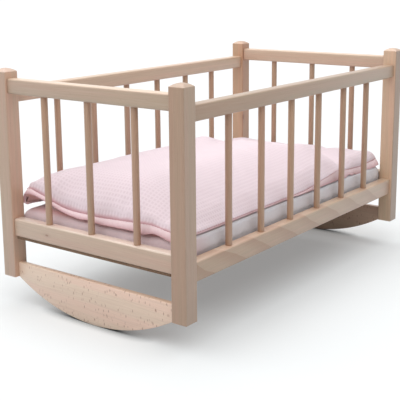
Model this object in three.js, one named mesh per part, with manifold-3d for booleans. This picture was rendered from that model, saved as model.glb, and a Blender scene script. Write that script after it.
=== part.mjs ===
// A doll cradle of beech: four posts, rails with round spindles between them, a rocker in each end,
// and a thin base board that carries a mattress, a duvet and a pillow.
// Millimetres. +X runs from the foot end to the head end, +Y across the cradle, +Z up.
// The origin is on the floor, under the middle of the cradle.
import * as THREE from "three";
import { mergeVertices } from "three/addons/utils/BufferGeometryUtils.js";
import Module from "manifold-3d";

const wasm = await Module();
wasm.setup();

// Clearances
const fit = 0.3; // round every peg in its hole, and beside what lies loose
const overrun = 2; // how far a cutting tool reaches past the face that it opens

// Overall size, over the posts
const cradleLength = 540;
const cradleWidth = 300;

// Posts
const postSide = 21;
const postHeight = 265; // foot of the post to the shoulder of its cap
const postCorner = 1.6; // radius of its long edges
const capRise = 4.2; // the cap swells this far above the shoulder
const capSteps = 4;

// Rockers
const rockerDrop = 36; // lowest point of the rocker, under the feet of the posts
const rockerThickness = 8;
const rockerEndHeight = 19; // where it meets the post
const rockerEase = 0.8;
const rockerFacets = 27; // odd, so that a flat lies at the middle

// Rails, which stand centred on the posts
const railThickness = 15;
const railRound = 2.4; // radius of the long edges
const railEase = 1.2; // rounding of the two ends
const endTopHeight = 19;
const endTopDrop = 8; // shoulder of the post to the top of the rail
const endBottomHeight = 23;
const endBottomRise = 55; // foot of the post to the underside of the rail
const sideTopHeight = 19;
const sideTopDrop = 20.5;
const sideBottomHeight = 24;
const sideBottomRise = 44;

// Spindles
const spindleDiameter = 8.5;
const spindleSides = 16;
const spindleBoreDepth = 8;
const sideSpindleCount = 6;
const sideSpindleInset = 75.5; // post to the middle of the first spindle
const endSpindleCount = 3;
const endSpindleInset = 57;

// Wooden pegs that join rails and rockers to the posts
const pegSides = 12;
const railPegDiameter = 6;
const railPegLength = 28;
const rockerPegDiameter = 5;
const rockerPegLength = 22;
const rockerPegRise = 9.5; // above the foot of the post

// Base board, let into the side rails and nailed up under the end rails
const boardThickness = 3;
const boardGroove = 4; // depth of the groove in a side rail
const boardSetback = 1; // board end, behind the outer face of the end rail
const boardCornerGap = 3.5; // notch left round each post
const nailLength = 12;
const nailDiameter = 1.4;
const nailHeadDiameter = 3;
const nailHeadHeight = 0.6;
const nailCount = 2; // at each end
const nailInset = 54; // end of the rail to the first nail

// Mattress
const mattressSideGap = 4.5; // to the inner face of the side rail
const mattressEndGap = 5; // to the inner face of the end rail
const mattressHeight = 33;
const mattressCrown = 1.2;
const mattressCorner = 7; // how far each plan corner is drawn in
const mattressEdge = 4; // rounding of the top and bottom edges

// Duvet
const duvetSideGap = 4;
const duvetFootGap = 2;
const duvetPillowGap = 7;
const duvetWall = 12; // height of its soft side
const duvetBackWall = 24; // the side at the back is pushed up
const duvetSwell = 54; // highest point, above its underside
const duvetHeadShare = 0.8; // swell that is left near the head end
const duvetCrease = 6; // depth of the fold across it, near the head end
const duvetCreaseShare = 0.78; // place of that fold, from the middle towards the head end
const duvetRound = 62; // length over which the foot end rises to the full swell
const duvetHem = 9; // flat stitched hem at the foot end
const duvetHemThickness = 4;
const duvetCurl = 13; // the foot corner at the back stands off the mattress
const duvetPull = 3; // how far its sides draw in

// Pillow
const pillowLength = 112;
const pillowSideGap = 11;
const pillowHeadGap = 5;
const pillowSwell = 27;
const pillowHem = 8;
const pillowHemThickness = 4;
const pillowPull = 4;

// Places that follow from the sizes
const footLevel = rockerDrop;
const shoulderLevel = footLevel + postHeight;
const postX = (cradleLength - postSide) / 2;
const postY = (cradleWidth - postSide) / 2;
const sideRailLength = cradleLength - 2 * postSide;
const endRailLength = cradleWidth - 2 * postSide;
const endTopUnder = shoulderLevel - endTopDrop - endTopHeight;
const sideTopUnder = shoulderLevel - sideTopDrop - sideTopHeight;
const endBottomUnder = footLevel + endBottomRise;
const sideBottomUnder = footLevel + sideBottomRise;
const endTopMiddle = endTopUnder + endTopHeight / 2;
const sideTopMiddle = sideTopUnder + sideTopHeight / 2;
const endBottomMiddle = endBottomUnder + endBottomHeight / 2;
const sideBottomMiddle = sideBottomUnder + sideBottomHeight / 2;
const wellHalfLength = postX - railThickness / 2;
const wellHalfWidth = postY - railThickness / 2;
const boardUnder = endBottomUnder - boardThickness;
const mattressUnder = endBottomUnder + fit;
const beddingLevel = mattressUnder + mattressHeight + mattressCrown + fit;
const pillowWidth = 2 * (wellHalfWidth - pillowSideGap);
const pillowFoot = wellHalfLength - pillowHeadGap - pillowLength;
const duvetLength = pillowFoot - duvetPillowGap - (duvetFootGap - wellHalfLength);

const beechColour = 0xd2ae8c;
const pegColour = 0xc9a27c;
const boardColour = 0x6e4d35;
const nailColour = 0x9a9a98;
const tickingColour = 0xdedee4;
const coverColour = 0xecd3da;

const xAxis = new THREE.Vector3(1, 0, 0);
const yAxis = new THREE.Vector3(0, 1, 0);
const zAxis = new THREE.Vector3(0, 0, 1);

const cradle = new THREE.Group();

function addPiece(name, geometry, colour, roughness, metalness = 0) {
  const material = new THREE.MeshStandardMaterial({ color: colour, roughness, metalness });
  const mesh = new THREE.Mesh(geometry, material);
  mesh.name = name;
  cradle.add(mesh);
  return mesh;
}

// Boolean cuts
function toSolid(geometry) {
  const bare = geometry.clone();
  bare.deleteAttribute("normal");
  bare.deleteAttribute("uv");
  const welded = mergeVertices(bare);
  const vertProperties = Float32Array.from(welded.attributes.position.array);
  const triVerts = Uint32Array.from(welded.index.array);
  return new wasm.Manifold(new wasm.Mesh({ numProp: 3, vertProperties, triVerts }));
}

function toGeometry(solid) {
  const mesh = solid.getMesh();
  const geometry = new THREE.BufferGeometry();
  geometry.setAttribute("position", new THREE.BufferAttribute(mesh.vertProperties, 3));
  geometry.setIndex(new THREE.BufferAttribute(mesh.triVerts, 1));
  const flat = geometry.toNonIndexed();
  flat.computeVertexNormals();
  return flat;
}

function cut(geometry, tools) {
  let solid = toSolid(geometry);
  for (const tool of tools) {
    solid = solid.subtract(toSolid(tool));
  }
  return toGeometry(solid);
}

// Basic shapes
function roundedRectangle(width, height, radius) {
  const x = width / 2;
  const y = height / 2;
  const quarter = Math.PI / 2;
  const shape = new THREE.Shape();
  shape.moveTo(-x + radius, -y);
  shape.lineTo(x - radius, -y);
  shape.absarc(x - radius, -y + radius, radius, -quarter, 0, false);
  shape.absarc(x - radius, y - radius, radius, 0, quarter, false);
  shape.absarc(-x + radius, y - radius, radius, quarter, 2 * quarter, false);
  shape.absarc(-x + radius, -y + radius, radius, 2 * quarter, 3 * quarter, false);
  return shape;
}

function extrudeEased(shape, length, ease) {
  const geometry = new THREE.ExtrudeGeometry(shape, {
    depth: length - 2 * ease,
    curveSegments: 2,
    bevelEnabled: ease > 0,
    bevelThickness: ease,
    bevelSize: ease,
    bevelOffset: -ease,
    bevelSegments: 2,
  });
  geometry.translate(0, 0, ease - length / 2);
  return geometry;
}

// A rail lies along X, centred on the origin.
function railBlank(length, height) {
  const geometry = extrudeEased(roundedRectangle(railThickness, height, railRound), length, railEase);
  return geometry.applyMatrix4(new THREE.Matrix4().makeBasis(yAxis, zAxis, xAxis));
}

function rod(diameter, length, sides, axis) {
  const geometry = new THREE.CylinderGeometry(diameter / 2, diameter / 2, length, sides);
  geometry.applyQuaternion(new THREE.Quaternion().setFromUnitVectors(yAxis, axis));
  return geometry;
}

// A cutter for a blind hole: mouth on the face, axis pointing into the wood.
function blindHole(diameter, depth, sides, mouth, axis) {
  const geometry = rod(diameter + 2 * fit, depth + overrun, sides, axis);
  const middle = mouth.clone().addScaledVector(axis, (depth - overrun) / 2);
  return geometry.translate(middle.x, middle.y, middle.z);
}

function box(length, width, height, centre) {
  const geometry = new THREE.BoxGeometry(length, width, height);
  return geometry.translate(centre.x, centre.y, centre.z);
}

// Even places along a rail, the first and the last one inset from its ends
function evenPlaces(length, inset, count) {
  const places = [];
  for (let i = 0; i < count; i += 1) {
    places.push((i / (count - 1) - 0.5) * (length - 2 * inset));
  }
  return places;
}

const sideSpindlePlaces = evenPlaces(sideRailLength, sideSpindleInset, sideSpindleCount);
const endSpindlePlaces = evenPlaces(endRailLength, endSpindleInset, endSpindleCount);
const nailPlaces = evenPlaces(endRailLength, nailInset, nailCount);

// Posts
const pegHoleDepth = railPegLength / 2 + fit;
const rockerHoleDepth = rockerPegLength / 2 + fit;

// The cap is a square dome: a profile turned in four steps, whose foot is the post's square.
function capEnvelope() {
  const halfDiagonal = postSide * Math.SQRT1_2;
  const profile = [new THREE.Vector2(0, -overrun), new THREE.Vector2(halfDiagonal, -overrun)];
  for (let i = 0; i < capSteps; i += 1) {
    const share = 1 - i / capSteps;
    const height = postHeight + capRise * (1 - share * share);
    profile.push(new THREE.Vector2(halfDiagonal * share, height));
  }
  profile.push(new THREE.Vector2(0, postHeight + capRise));
  const geometry = new THREE.LatheGeometry(profile, 4, Math.PI / 4);
  return geometry.rotateX(Math.PI / 2);
}

// inX and inY are 1 or -1: the way from the post towards the middle of the cradle.
function addPost(name, inX, inY) {
  const blankHeight = postHeight + capRise;
  const blank = extrudeEased(roundedRectangle(postSide, postSide, postCorner), blankHeight, 0);
  blank.translate(0, 0, blankHeight / 2);
  let solid = toSolid(blank).intersect(toSolid(capEnvelope()));
  const faceX = (inX * postSide) / 2;
  const faceY = (inY * postSide) / 2;
  const holes = [
    [railPegDiameter, pegHoleDepth, faceX, 0, sideTopMiddle],
    [railPegDiameter, pegHoleDepth, faceX, 0, sideBottomMiddle],
    [railPegDiameter, pegHoleDepth, 0, faceY, endTopMiddle],
    [railPegDiameter, pegHoleDepth, 0, faceY, endBottomMiddle],
    [rockerPegDiameter, rockerHoleDepth, 0, faceY, footLevel + rockerPegRise],
  ];
  for (const [diameter, depth, x, y, level] of holes) {
    const mouth = new THREE.Vector3(x, y, level - footLevel);
    const axis = new THREE.Vector3(-Math.sign(x), -Math.sign(y), 0);
    solid = solid.subtract(toSolid(blindHole(diameter, depth, pegSides, mouth, axis)));
  }
  const mesh = addPiece(name, toGeometry(solid), beechColour, 0.55);
  mesh.position.set(-inX * postX, -inY * postY, footLevel);
}

addPost("post_foot_front", 1, 1);
addPost("post_foot_back", 1, -1);
addPost("post_head_front", -1, 1);
addPost("post_head_back", -1, -1);

// Rails. openUp is 1 when the spindles enter the top of the rail, and -1 when they enter its underside.
function railGeometry(length, height, spindlePlaces, openUp, extraTools) {
  const tools = [];
  const inward = zAxis.clone().multiplyScalar(-openUp);
  for (const place of spindlePlaces) {
    const mouth = new THREE.Vector3(place, 0, (openUp * height) / 2);
    tools.push(blindHole(spindleDiameter, spindleBoreDepth, spindleSides, mouth, inward));
  }
  for (const end of [-1, 1]) {
    const mouth = new THREE.Vector3((end * length) / 2, 0, 0);
    const axis = xAxis.clone().multiplyScalar(-end);
    tools.push(blindHole(railPegDiameter, pegHoleDepth, pegSides, mouth, axis));
  }
  return cut(railBlank(length, height), [...tools, ...extraTools]);
}

// The groove opens in the +Y face of the rail.
function grooveTool() {
  const reach = boardGroove + overrun;
  const centreY = railThickness / 2 - boardGroove + reach / 2;
  const centreZ = boardUnder + boardThickness / 2 - sideBottomMiddle;
  const centre = new THREE.Vector3(0, centreY, centreZ);
  return box(sideRailLength + 2 * overrun, reach, boardThickness + 2 * fit, centre);
}

function nailTools() {
  const depth = nailLength - boardThickness + fit;
  return nailPlaces.map((place) => {
    const mouth = new THREE.Vector3(place, 0, -endBottomHeight / 2);
    return blindHole(nailDiameter, depth, pegSides, mouth, zAxis);
  });
}

function addRail(name, geometry, x, y, z, turn) {
  const mesh = addPiece(name, geometry, beechColour, 0.55);
  mesh.position.set(x, y, z);
  mesh.rotation.z = turn;
}

const sideTopRail = railGeometry(sideRailLength, sideTopHeight, sideSpindlePlaces, -1, []);
const sideBottomRail = railGeometry(sideRailLength, sideBottomHeight, sideSpindlePlaces, 1, [grooveTool()]);
const endTopRail = railGeometry(endRailLength, endTopHeight, endSpindlePlaces, -1, []);
const endBottomRail = railGeometry(endRailLength, endBottomHeight, endSpindlePlaces, 1, nailTools());

for (const [side, sign] of [["front", -1], ["back", 1]]) {
  const turn = sign < 0 ? 0 : Math.PI;
  addRail(`side_top_rail_${side}`, sideTopRail, 0, sign * postY, sideTopMiddle, turn);
  addRail(`side_bottom_rail_${side}`, sideBottomRail, 0, sign * postY, sideBottomMiddle, turn);
}
for (const [end, sign] of [["foot", -1], ["head", 1]]) {
  const turn = (-sign * Math.PI) / 2;
  addRail(`end_top_rail_${end}`, endTopRail, sign * postX, 0, endTopMiddle, turn);
  addRail(`end_bottom_rail_${end}`, endBottomRail, sign * postX, 0, endBottomMiddle, turn);
}

// Spindles, a little shorter than the way between the bottoms of their two holes
function addSpindle(name, x, y, lowRailTop, highRailUnder) {
  const low = lowRailTop - spindleBoreDepth + fit;
  const high = highRailUnder + spindleBoreDepth - fit;
  const mesh = addPiece(name, rod(spindleDiameter, high - low, spindleSides, zAxis), beechColour, 0.5);
  mesh.position.set(x, y, (low + high) / 2);
}

for (const [side, sign] of [["front", -1], ["back", 1]]) {
  sideSpindlePlaces.forEach((place, i) => {
    const top = sideBottomUnder + sideBottomHeight;
    addSpindle(`side_spindle_${side}_${i + 1}`, place, sign * postY, top, sideTopUnder);
  });
}
for (const [end, sign] of [["foot", -1], ["head", 1]]) {
  endSpindlePlaces.forEach((place, i) => {
    const top = endBottomUnder + endBottomHeight;
    addSpindle(`end_spindle_${end}_${i + 1}`, sign * postX, place, top, endTopUnder);
  });
}

// Rockers: a straight top, a circular arc below, and a small flat at the lowest point
function rockerGeometry() {
  const half = endRailLength / 2;
  const radius = (half * half + rockerDrop * rockerDrop) / (2 * rockerDrop);
  const swing = Math.asin(half / radius);
  const shape = new THREE.Shape();
  shape.moveTo(-half, rockerDrop + rockerEndHeight);
  for (let i = 0; i <= rockerFacets; i += 1) {
    const angle = swing * ((2 * i) / rockerFacets - 1);
    shape.lineTo(radius * Math.sin(angle), radius * (1 - Math.cos(angle)));
  }
  shape.lineTo(half, rockerDrop + rockerEndHeight);
  const flat = radius * (1 - Math.cos(swing / rockerFacets));
  const blank = extrudeEased(shape, rockerThickness, rockerEase);
  blank.translate(0, -flat, 0);
  blank.applyMatrix4(new THREE.Matrix4().makeBasis(yAxis, zAxis, xAxis));
  const tools = [];
  for (const end of [-1, 1]) {
    const mouth = new THREE.Vector3(0, end * half, footLevel + rockerPegRise);
    const axis = yAxis.clone().multiplyScalar(-end);
    tools.push(blindHole(rockerPegDiameter, rockerHoleDepth, pegSides, mouth, axis));
  }
  return cut(blank, tools);
}

const rocker = rockerGeometry();
addPiece("rocker_foot", rocker, beechColour, 0.55).position.x = -postX;
addPiece("rocker_head", rocker, beechColour, 0.55).position.x = postX;

// Pegs: one in each end of each rail and rocker, half in the post
function addPeg(name, diameter, length, axis, x, y, z) {
  addPiece(name, rod(diameter, length, pegSides, axis), pegColour, 0.6).position.set(x, y, z);
}

for (const [end, signX] of [["foot", -1], ["head", 1]]) {
  for (const [side, signY] of [["front", -1], ["back", 1]]) {
    for (const [row, level] of [["top", sideTopMiddle], ["bottom", sideBottomMiddle]]) {
      const x = (signX * sideRailLength) / 2;
      addPeg(`side_${row}_peg_${end}_${side}`, railPegDiameter, railPegLength, xAxis, x, signY * postY, level);
    }
    const y = (signY * endRailLength) / 2;
    for (const [row, level] of [["top", endTopMiddle], ["bottom", endBottomMiddle]]) {
      addPeg(`end_${row}_peg_${end}_${side}`, railPegDiameter, railPegLength, yAxis, signX * postX, y, level);
    }
    const rockerPegLevel = footLevel + rockerPegRise;
    addPeg(`rocker_peg_${end}_${side}`, rockerPegDiameter, rockerPegLength, yAxis, signX * postX, y, rockerPegLevel);
  }
}

// Base board: its long edges lie in the side grooves, and its ends pass under the end rails
const nailX = postX;

function boardGeometry() {
  const endX = postX + railThickness / 2 - boardSetback;
  const notchX = sideRailLength / 2 - fit;
  const edgeY = wellHalfWidth + boardGroove - fit;
  const tongueY = endRailLength / 2 - boardCornerGap;
  const corners = [
    [endX, tongueY],
    [notchX, tongueY],
    [notchX, edgeY],
  ];
  const outline = [];
  for (const [signX, signY] of [[1, 1], [-1, 1], [-1, -1], [1, -1]]) {
    const run = signX * signY > 0 ? corners : [...corners].reverse();
    run.forEach(([x, y]) => outline.push(new THREE.Vector2(signX * x, signY * y)));
  }
  const settings = { depth: boardThickness, bevelEnabled: false };
  const blank = new THREE.ExtrudeGeometry(new THREE.Shape(outline), settings);
  const tools = [];
  for (const sign of [-1, 1]) {
    for (const place of nailPlaces) {
      const hole = rod(nailDiameter + 2 * fit, boardThickness + 2 * overrun, pegSides, zAxis);
      tools.push(hole.translate(sign * nailX, place, boardThickness / 2));
    }
  }
  return cut(blank, tools);
}

addPiece("base_board", boardGeometry(), boardColour, 0.7).position.z = boardUnder;

// Nails that hold the board up to the end rails, with their heads under it
function nailGeometry() {
  const shank = nailDiameter / 2;
  const head = nailHeadDiameter / 2;
  const profile = [
    [0, -nailHeadHeight],
    [head, -nailHeadHeight],
    [head, 0],
    [shank, 0],
    [shank, nailLength - nailDiameter],
    [0, nailLength],
  ];
  const points = profile.map(([radius, height]) => new THREE.Vector2(radius, height));
  return new THREE.LatheGeometry(points, pegSides).rotateX(Math.PI / 2);
}

for (const [end, sign] of [["foot", -1], ["head", 1]]) {
  nailPlaces.forEach((place, i) => {
    const nail = addPiece(`board_nail_${end}_${i + 1}`, nailGeometry(), nailColour, 0.35, 0.9);
    nail.position.set(sign * nailX, place, boardUnder);
  });
}

// Bedding. A grid box is bent into each form: u, v and w run from -1 to 1 over its length, width and
// height, with more rows near the edges, and shape(u, v, w) gives the point in millimetres.
function bentBox(columns, rows, layers, shape) {
  const geometry = new THREE.BoxGeometry(2, 2, 2, columns, rows, layers);
  geometry.deleteAttribute("uv");
  geometry.deleteAttribute("normal");
  const bent = mergeVertices(geometry);
  const points = bent.attributes.position;
  const spread = (value) => Math.sin((value * Math.PI) / 2);
  for (let i = 0; i < points.count; i += 1) {
    const [x, y, z] = shape(spread(points.getX(i)), spread(points.getY(i)), points.getZ(i));
    points.setXYZ(i, x, y, z);
  }
  const flat = bent.toNonIndexed();
  flat.computeVertexNormals();
  return flat;
}

const fade = (value, power) => 1 - Math.abs(value) ** power;
const rise = (low, high, value) => THREE.MathUtils.smoothstep(value, low, high);

// Mattress: a foam block with soft edges, rounded plan corners and a slight crown
function mattressShape(u, v, w) {
  const halfLength = wellHalfLength - mattressEndGap;
  const halfWidth = wellHalfWidth - mattressSideGap;
  const corner = Math.abs(u) ** 24 * Math.abs(v) ** 12;
  const bulge = mattressEdge * Math.abs(w) ** 3;
  const x = u * (halfLength - mattressCorner * corner - bulge * Math.abs(u) ** 8);
  const y = v * (halfWidth - mattressCorner * corner - bulge * Math.abs(v) ** 8);
  const sides = Math.max(Math.abs(u) ** 16, Math.abs(v) ** 16);
  const crown = w > 0 ? mattressCrown * fade(u, 2) * fade(v, 2) : 0;
  const roll = (mattressEdge / 3) * sides * Math.max(Math.abs(w) - 0.5, 0) * 2;
  const z = mattressHeight * ((w + 1) / 2) + crown - Math.sign(w) * roll;
  return [x, y, z];
}

const mattress = addPiece("mattress", bentBox(16, 12, 4, mattressShape), tickingColour, 0.9);
mattress.position.z = mattressUnder;

// Duvet: thick and soft, highest over the foot half, with a flat hem at the foot end and a foot corner
// at the back that curls up off the mattress
function duvetShape(u, v, w) {
  const halfLength = duvetLength / 2;
  const halfWidth = wellHalfWidth - duvetSideGap;
  const hemShare = (2 * duvetHem) / duvetLength;
  const roundShare = (2 * duvetRound) / duvetLength;
  const draw = duvetPull * fade(u, 2) * Math.abs(v) ** 8;
  const x = u * halfLength;
  const y = v * (halfWidth - draw);
  const climb = THREE.MathUtils.clamp((u + 1 - hemShare) / roundShare, 0, 1);
  const foot = 1 - (1 - climb) ** 2.4;
  const head = (1 - (1 - duvetHeadShare) * rise(0.3, 0.85, u)) * fade(Math.max(u, 0), 24);
  const crease = duvetCrease * Math.exp(-(((u - duvetCreaseShare) / 0.09) ** 2)) * fade(v, 6);
  const side = duvetWall + (duvetBackWall - duvetWall) * rise(0.2, 1, v);
  const wall = duvetHemThickness + (side - duvetHemThickness) * rise(0, 0.4, climb);
  const thickness = wall + ((duvetSwell - side) * head * foot - crease) * fade(v, v > 0 ? 6 : 4);
  const curl = duvetCurl * (1 - rise(-1, -0.5, u)) * rise(0.1, 0.75, v) * (1 - 0.5 * rise(0.75, 1, v));
  return [x, y, curl + thickness * ((w + 1) / 2)];
}

const duvet = addPiece("duvet", bentBox(20, 14, 3, duvetShape), coverColour, 0.95);
duvet.position.set(-wellHalfLength + duvetFootGap + duvetLength / 2, 0, beddingLevel);

// Pillow: swollen in the middle, with a flat hem all round and sides that draw in between the corners
function pillowShape(u, v, w) {
  const halfLength = pillowLength / 2 - pillowPull * fade(v, 2) * Math.abs(u) ** 4;
  const halfWidth = pillowWidth / 2 - pillowPull * fade(u, 2) * Math.abs(v) ** 6;
  const hemU = 1 - (2 * pillowHem) / pillowLength;
  const hemV = 1 - (2 * pillowHem) / pillowWidth;
  const swellU = fade(Math.min(Math.abs(u) / hemU, 1), 2.4);
  const swellV = fade(Math.min(Math.abs(v) / hemV, 1), 4);
  const thickness = pillowHemThickness + (pillowSwell - pillowHemThickness) * Math.sqrt(swellU * swellV);
  return [u * halfLength, v * halfWidth, thickness * ((w + 1) / 2)];
}

const pillow = addPiece("pillow", bentBox(14, 16, 3, pillowShape), coverColour, 0.95);
pillow.position.set(pillowFoot + pillowLength / 2, 0, beddingLevel);

export default cradle;
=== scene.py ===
# %% [markdown]
# # A rocking doll cradle, dressed
# The cradle is a small piece of joinery: four square posts, flat rails, round spindles and two rockers,
# all of pale beech under a thin clear varnish. A mattress, a duvet and a pillow lie in it. The solids
# that say where everything is are loaded first, and nothing in this lesson changes a size. Each step
# below takes one kind of piece, makes a finer version of it with mesh operators, and gives it a
# material made of nodes.

import math
import random

import bmesh
import bpy
import numpy as np
from mathutils import Matrix, Vector, noise


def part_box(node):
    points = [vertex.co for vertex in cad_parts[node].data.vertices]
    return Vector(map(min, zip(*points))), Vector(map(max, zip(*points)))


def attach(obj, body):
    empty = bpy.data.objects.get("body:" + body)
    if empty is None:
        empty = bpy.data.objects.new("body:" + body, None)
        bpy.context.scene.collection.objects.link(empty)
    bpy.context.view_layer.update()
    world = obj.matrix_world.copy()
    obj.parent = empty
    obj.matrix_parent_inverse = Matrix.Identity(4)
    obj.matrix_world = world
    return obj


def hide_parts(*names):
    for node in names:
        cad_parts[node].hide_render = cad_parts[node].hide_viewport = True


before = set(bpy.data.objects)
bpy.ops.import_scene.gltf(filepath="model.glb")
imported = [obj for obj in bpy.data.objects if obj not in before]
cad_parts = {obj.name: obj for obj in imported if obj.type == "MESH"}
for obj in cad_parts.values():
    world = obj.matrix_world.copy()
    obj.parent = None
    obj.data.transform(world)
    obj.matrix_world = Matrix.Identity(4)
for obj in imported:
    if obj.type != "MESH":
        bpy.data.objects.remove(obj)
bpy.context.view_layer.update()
scene = bpy.context.scene
MM = 0.001

# %% [markdown]
# ## The camera
# A product photograph like this is taken with a long lens from well back, a little above the top rail,
# looking at one corner. The camera here is set by its compass direction, its tilt, its distance from a
# point in the cradle and the length of its lens. A small downward shift of the sensor keeps the posts
# more upright than tilting alone would, as a view camera does.

# %% Place the camera
VIEW_AZIMUTH = math.radians(-52.934)
VIEW_TILT = math.radians(-11.912)
VIEW_ROLL = math.radians(-0.492)
VIEW_DISTANCE = 1267.4 * MM
VIEW_TARGET = Vector((-0.2, 32.8, 155.7)) * MM
LENS = 79.384
SENSOR = 36
SENSOR_SHIFT = -0.1


def aim_camera():
    level = math.cos(VIEW_TILT)
    ahead = Vector((-math.sin(VIEW_AZIMUTH) * level, math.cos(VIEW_AZIMUTH) * level, math.sin(VIEW_TILT)))
    right = ahead.cross(Vector((0, 0, 1))).normalized()
    up = right.cross(ahead)
    turned_right = math.cos(VIEW_ROLL) * right + math.sin(VIEW_ROLL) * up
    turned_up = turned_right.cross(ahead)
    camera = bpy.data.objects.new("camera", bpy.data.cameras.new("camera"))
    scene.collection.objects.link(camera)
    camera.data.lens = LENS
    camera.data.sensor_width = SENSOR
    camera.data.shift_y = SENSOR_SHIFT
    camera.data.clip_start = 0.05
    camera.data.clip_end = 60
    pose = Matrix((turned_right, turned_up, -ahead)).transposed().to_4x4()
    pose.translation = VIEW_TARGET - ahead * VIEW_DISTANCE
    camera.matrix_world = pose
    scene.camera = camera
    return camera


camera = aim_camera()
print("camera at", [round(v, 3) for v in camera.matrix_world.translation])

# %% [markdown]
# ## Small tools for node trees
# A material is a tree of nodes: each one works out a number, a colour or a direction and hands it on.
# Making and linking them one by one fills pages, so each helper here makes one kind of node, feeds it
# and gives back its output. What a node is fed may be another node's output, which gets linked, or a
# plain number or colour, which gets set.

# %% Node helpers
def new_material(name):
    material = bpy.data.materials.new(name)
    material.use_nodes = True
    return material, material.node_tree, material.node_tree.nodes["Principled BSDF"]


def node(tree, kind, **settings):
    made = tree.nodes.new("ShaderNode" + kind)
    for key, value in settings.items():
        setattr(made, key, value)
    return made


def link(source, target):
    if isinstance(source, bpy.types.NodeSocket):
        target.id_data.links.new(source, target)
    else:
        target.default_value = source


def feed(made, values):
    """Links or sets some inputs of a node, each given by its name or its number."""
    for name, value in values.items():
        link(value, made.inputs[name])
    return made


def tree_of(*values):
    """The tree that the values come from; a plain number or colour comes from none."""
    return next(value.id_data for value in values if isinstance(value, bpy.types.NodeSocket))


def math_node(operation, *values):
    made = node(tree_of(*values), "Math", operation=operation)
    return feed(made, dict(enumerate(values))).outputs[0]


def scaled(vector, scale):
    made = node(vector.id_data, "VectorMath", operation="MULTIPLY")
    return feed(made, {0: vector, 1: scale}).outputs[0]


def split(vector):
    return feed(node(vector.id_data, "SeparateXYZ"), {0: vector}).outputs


def remap(value, low, high, to_low=0.0, to_high=1.0):
    made = node(value.id_data, "MapRange", interpolation_type="SMOOTHSTEP")
    limits = {"From Min": low, "From Max": high, "To Min": to_low, "To Max": to_high}
    return feed(made, {"Value": value, **limits}).outputs[0]


def mixed(factor, first, second, mode="MIX"):
    made = node(tree_of(factor, first, second), "Mix", data_type="RGBA", blend_type=mode)
    return feed(made, {0: factor, 6: first, 7: second}).outputs[2]


def noise_node(vector, scale, detail=2.0, roughness=0.5):
    made = node(vector.id_data, "TexNoise")
    values = {"Vector": scaled(vector, scale), "Scale": 1.0, "Detail": detail, "Roughness": roughness}
    return feed(made, values).outputs[0]


def spots_node(vector, scale, core, rim):
    """1 inside scattered spots, fading to 0 between the distances core and rim."""
    made = node(vector.id_data, "TexVoronoi", feature="F1")
    feed(made, {"Vector": scaled(vector, scale), "Scale": 1.0})
    return remap(made.outputs["Distance"], core, rim, 1.0, 0.0)


def add_bump(surface, height, strength, depth):
    bump = node(surface.id_data, "Bump")
    feed(bump, {"Strength": strength, "Distance": depth, "Height": height})
    link(bump.outputs[0], surface.inputs["Normal"])


print("helpers ready")

# %% [markdown]
# ## Light and floor
# A studio sweep gives white paper below and behind, one wide soft light overhead, and a little light
# from all around. A wide sun does the work of the overhead softbox, because it lights the paper evenly
# to its far edge, and the world gives the fill. The paper is near white under that light, so it needs
# no extra brightness; a touch of glow for the camera alone takes it to clean white. Right under a rocker
# the real paper is nearly black. Such wide light would leave it grey, so an Ambient Occlusion node
# darkens the paper within a finger's width of what stands on it.

# %% Light the set
SUN_STRENGTH = 3.75
SUN_SPREAD = math.radians(105)
SUN_TILT = (math.radians(-4), math.radians(-9), 0)
FILL_STRENGTH = 0.2
FILL_TINT = (0.94, 0.98, 1.0, 1)
PAPER_WHITE = 0.58
PAPER_TINT = (0.97, 1.0, 1.01)
PAPER_GLOW = 0.26
PAPER_REACH = 14
CONTACT_REACH = 17 * MM
CONTACT_SHADE = {"From Min": 0.2, "From Max": 0.93, "To Min": 0.05}


def seen_by_camera(tree):
    """1 where the camera, a reflection or clear glass sees a surface, and 0 for the light it gives."""
    path = node(tree, "LightPath").outputs
    either = math_node("MAXIMUM", path["Is Camera Ray"], path["Is Glossy Ray"])
    return math_node("MAXIMUM", either, path["Is Transmission Ray"])


def light_set():
    sun = bpy.data.objects.new("softbox", bpy.data.lights.new("softbox", "SUN"))
    sun.data.energy = SUN_STRENGTH
    sun.data.angle = SUN_SPREAD
    sun.rotation_euler = SUN_TILT
    scene.collection.objects.link(sun)
    world = bpy.data.worlds.new("studio")
    world.use_nodes = True
    tree = world.node_tree
    tree.nodes.clear()
    fill = feed(node(tree, "Background"), {"Color": FILL_TINT, "Strength": FILL_STRENGTH})
    seen = feed(node(tree, "Background"), {"Color": (1, 1, 1, 1), "Strength": 1.0})
    mix = node(tree, "MixShader")
    feed(mix, {0: seen_by_camera(tree), 1: fill.outputs[0], 2: seen.outputs[0]})
    link(mix.outputs[0], node(tree, "OutputWorld").inputs[0])
    scene.world = world


def lay_paper():
    mesh = bpy.data.meshes.new("paper")
    shape = bmesh.new()
    bmesh.ops.create_circle(shape, cap_ends=True, radius=PAPER_REACH, segments=64)
    shape.to_mesh(mesh)
    shape.free()
    paper = bpy.data.objects.new("paper", mesh)
    scene.collection.objects.link(paper)
    material, tree, surface = new_material("paper")
    near = node(tree, "AmbientOcclusion", samples=12)
    near.inputs["Distance"].default_value = CONTACT_REACH
    shade = feed(node(tree, "MapRange"), {"Value": near.outputs["AO"], **CONTACT_SHADE})
    white = node(tree, "VectorMath", operation="SCALE")
    feed(white, {0: [PAPER_WHITE * share for share in PAPER_TINT], "Scale": shade.outputs[0]})
    link(white.outputs[0], surface.inputs["Base Color"])
    feed(surface, {"Roughness": 0.9, "Specular IOR Level": 0.1, "Emission Color": (1, 1, 1, 1)})
    glow = math_node("MULTIPLY", seen_by_camera(tree), PAPER_GLOW)
    link(math_node("MULTIPLY", glow, shade.outputs[0]), surface.inputs["Emission Strength"])
    mesh.materials.append(material)


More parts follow.
